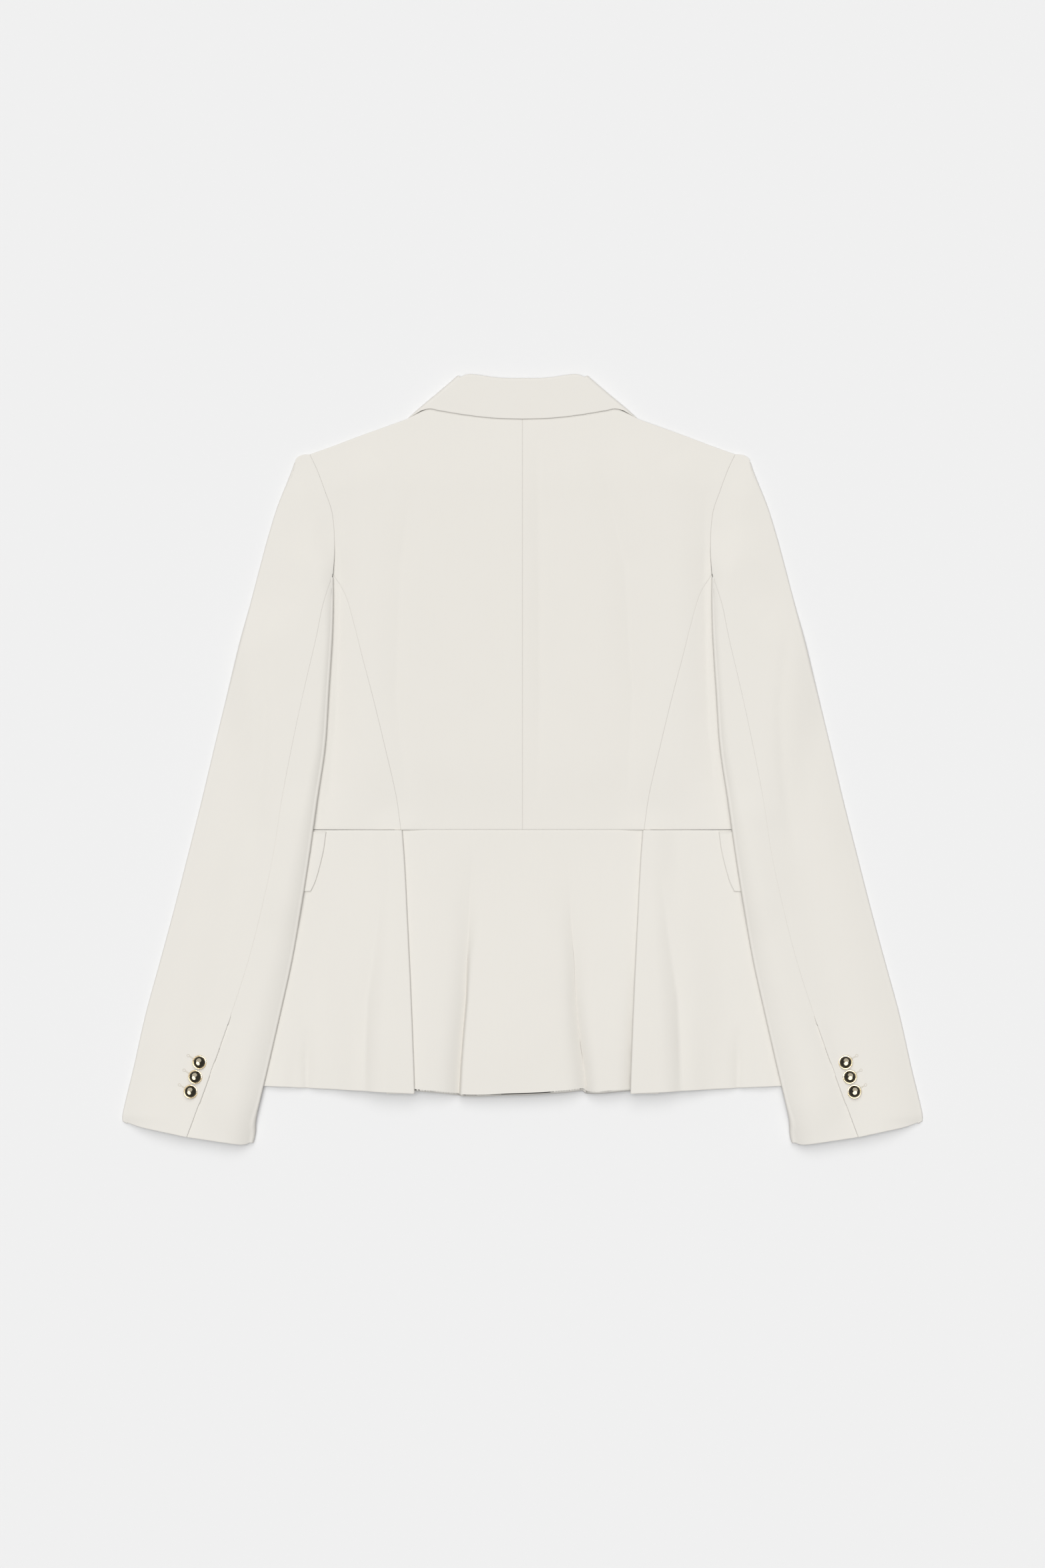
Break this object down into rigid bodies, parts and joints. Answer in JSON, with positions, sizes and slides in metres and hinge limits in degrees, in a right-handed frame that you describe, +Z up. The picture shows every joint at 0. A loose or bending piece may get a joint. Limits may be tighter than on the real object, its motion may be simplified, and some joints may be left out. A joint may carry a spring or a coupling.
{
  "type": "peplum jacket",
  "caption": "Tailored cream jacket with notched collar, curved back seams, pleated peplum, pocket flaps and domed gold cuff buttons, laid flat on its front.",
  "frame": {"origin": "middle of the flat underside, below the centre of the bounding box", "axes": "+Z up from the table through the back of the jacket, +Y from hem to collar, +X towards the wearer's right sleeve"},
  "size_m": [0.7328, 0.7021, 0.0146],
  "materials": {
    "cream_cloth": "smooth matt wool crepe with a faint twill",
    "gold_metal": "polished gold plate, domed"
  },
  "bodies": {
    "root": {"back_left": "cream_cloth", "back_right": "cream_cloth", "side_left": "cream_cloth", "side_right": "cream_cloth", "front_left": "cream_cloth", "front_right": "cream_cloth", "lapel_left": "cream_cloth", "lapel_right": "cream_cloth", "collar": "cream_cloth", "sleeve_upper_left": "cream_cloth", "sleeve_upper_right": "cream_cloth", "sleeve_under_left": "cream_cloth", "sleeve_under_right": "cream_cloth", "peplum_back": "cream_cloth", "peplum_side_left": "cream_cloth", "peplum_side_right": "cream_cloth", "peplum_front_left": "cream_cloth", "peplum_front_right": "cream_cloth", "pocket_flap_left": "cream_cloth", "pocket_flap_right": "cream_cloth", "cuff_button_left_1": "gold_metal", "cuff_button_left_2": "gold_metal", "cuff_button_left_3": "gold_metal", "cuff_button_right_1": "gold_metal", "cuff_button_right_2": "gold_metal", "cuff_button_right_3": "gold_metal"}
  },
  "joints": []
}
